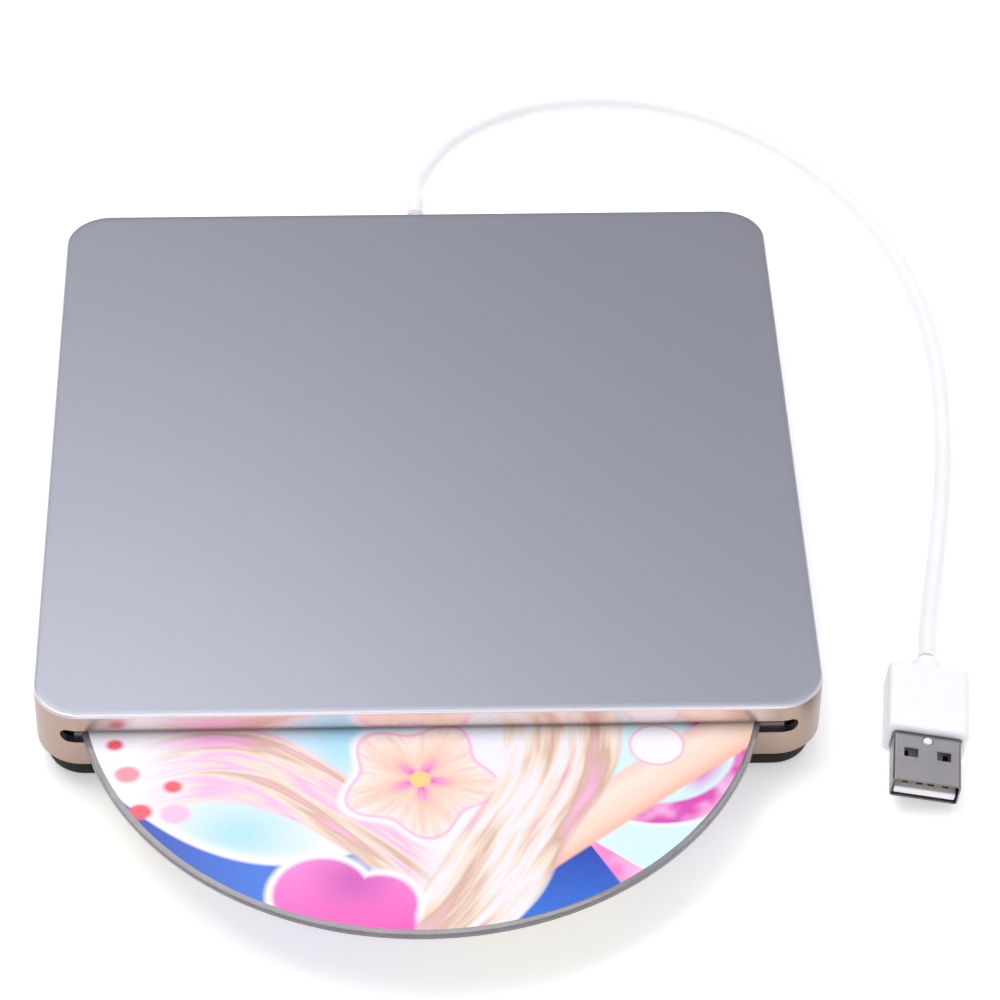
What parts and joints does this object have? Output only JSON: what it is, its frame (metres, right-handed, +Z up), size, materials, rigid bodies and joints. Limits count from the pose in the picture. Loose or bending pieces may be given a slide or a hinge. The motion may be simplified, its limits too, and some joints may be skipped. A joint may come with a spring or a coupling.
{
  "type": "external optical drive",
  "caption": "Flat square slot-loading disc drive in a satin metal case, with a disc part way out of its front slot and a white cord ending in a flat plug.",
  "frame": {"origin": "centre of the rubber pad's underside, on the surface the drive stands on", "axes": "+Z up, the disc slot faces -Y, +X to the right seen from the slot"},
  "size_m": [0.1714, 0.2412, 0.017],
  "materials": {
    "satin_aluminium": "satin, fine bead-blasted and anodised silver",
    "black_plastic": "matte black",
    "black_rubber": "matte black rubber",
    "grey_felt": "short dark felt",
    "zinc_plated_sheet": "zinc-plated sheet",
    "bright_steel": "ground steel",
    "motor_can": "drawn steel can",
    "grey_acetal": "dark grey acetal",
    "natural_acetal": "natural acetal",
    "die_cast_zinc": "die-cast, matte",
    "lens_glass": "coated lens",
    "green_board": "solder-masked board",
    "chip_epoxy": "moulded epoxy",
    "printed_polycarbonate": "glossy polycarbonate with a printed top",
    "white_vinyl": "smooth white vinyl",
    "gold_plate": "gold-plated contact"
  },
  "bodies": {
    "case": {"top_shell": "satin_aluminium", "base_cover": "black_plastic", "base_pad": "black_rubber", "slot_felt_lower": "grey_felt", "slot_felt_upper": "grey_felt", "drive_tray": "zinc_plated_sheet", "drive_cover": "zinc_plated_sheet", "disc_guide": "grey_acetal", "loading_motor": "motor_can", "feed_bracket_right": "bright_steel", "feed_bracket_left": "bright_steel", "pivot_grommet_left": "black_rubber", "pivot_grommet_right": "black_rubber", "end_switch": "black_plastic", "main_board": "green_board", "controller_chip": "chip_epoxy", "motor_driver_chip": "chip_epoxy", "drive_connector": "black_plastic", "bridge_board": "green_board", "bridge_connector": "black_plastic", "bridge_chip": "chip_epoxy", "cord_header": "zinc_plated_sheet", "strain_relief": "white_vinyl", "usb_cord": "white_vinyl", "plug_overmould": "white_vinyl", "plug_shell": "bright_steel", "plug_tongue": "white_vinyl", "drive_screw_1": "bright_steel", "plug_contact_1": "gold_plate", "drive_screw_2": "bright_steel", "plug_contact_2": "gold_plate", "drive_screw_3": "bright_steel", "plug_contact_3": "gold_plate", "drive_screw_4": "bright_steel", "plug_contact_4": "gold_plate"},
    "disc": {"disc": "printed_polycarbonate"},
    "roller": {"roller_shaft": "bright_steel", "roller_left": "black_rubber", "roller_right": "black_rubber", "roller_gear": "natural_acetal"},
    "idler": {"idler_gear": "natural_acetal"},
    "pinion": {"motor_pinion": "bright_steel"},
    "traverse": {"traverse_chassis": "zinc_plated_sheet", "guide_rod_left": "bright_steel", "guide_rod_right": "bright_steel", "spindle_stator": "zinc_plated_sheet", "feed_motor": "motor_can"},
    "cam": {"cam_slider": "natural_acetal"},
    "spindle": {"turntable": "grey_acetal", "turntable_mat": "black_rubber", "hub_claw_1": "bright_steel", "hub_claw_2": "bright_steel", "hub_claw_3": "bright_steel"},
    "sled": {"pickup_sled": "die_cast_zinc", "sled_follower": "grey_acetal", "lens_actuator": "grey_acetal", "objective_lens": "lens_glass"},
    "screw": {"lead_screw": "bright_steel"},
    "lever": {"disc_end_lever": "natural_acetal"}
  },
  "joints": [
    {"name": "disc_load", "type": "slide", "parent": "case", "child": "disc", "axis": [0, 1, 0], "range_m": [-0.0755, 0.053]},
    {"name": "roller_spin", "type": "hinge", "parent": "case", "child": "roller", "pos_m": [0, -0.0595, 0.0082], "axis": [-1, 0, 0], "range_deg": [-1300, 900]},
    {"name": "idler_spin", "type": "hinge", "parent": "case", "child": "idler", "pos_m": [0.06125, -0.05146, 0.0087], "axis": [1, 0, 0], "range_deg": [-1060, 740]},
    {"name": "pinion_spin", "type": "hinge", "parent": "case", "child": "pinion", "pos_m": [0.06125, -0.04513, 0.0074], "axis": [-1, 0, 0], "range_deg": [-2320, 1620]},
    {"name": "traverse_lift", "type": "hinge", "parent": "case", "child": "traverse", "pos_m": [0, 0.056, 0.0068], "axis": [-1, 0, 0], "range_deg": [0, 1.5]},
    {"name": "cam_shift", "type": "slide", "parent": "case", "child": "cam", "axis": [1, 0, 0], "range_m": [0, 0.00801]},
    {"name": "spindle_spin", "type": "hinge", "parent": "traverse", "child": "spindle", "pos_m": [-0.0014, -0.002, 0.0081], "axis": [0, 0, 1], "continuous": true},
    {"name": "sled_travel", "type": "slide", "parent": "traverse", "child": "sled", "axis": [0, 1, 0], "range_m": [0, 0.033]},
    {"name": "screw_spin", "type": "hinge", "parent": "traverse", "child": "screw", "pos_m": [0.0258, 0.01, 0.007], "axis": [0, -1, 0], "range_deg": [-5, 2980]},
    {"name": "lever_swing", "type": "hinge", "parent": "case", "child": "lever", "pos_m": [0.05, 0.054, 0.0112], "axis": [0, 0, -1], "range_deg": [0, 3], "stiffness_Nm_per_rad": 0.002}
  ],
  "couplings": [
    {"joint": "roller_spin", "follows": "disc_load", "rad_per_m": 294.12},
    {"joint": "idler_spin", "follows": "disc_load", "rad_per_m": 240.64},
    {"joint": "pinion_spin", "follows": "disc_load", "rad_per_m": 529.41},
    {"joint": "cam_shift", "follows": "traverse_lift", "m_per_rad": 0.30558},
    {"joint": "screw_spin", "follows": "sled_travel", "rad_per_m": 1570.8}
  ]
}
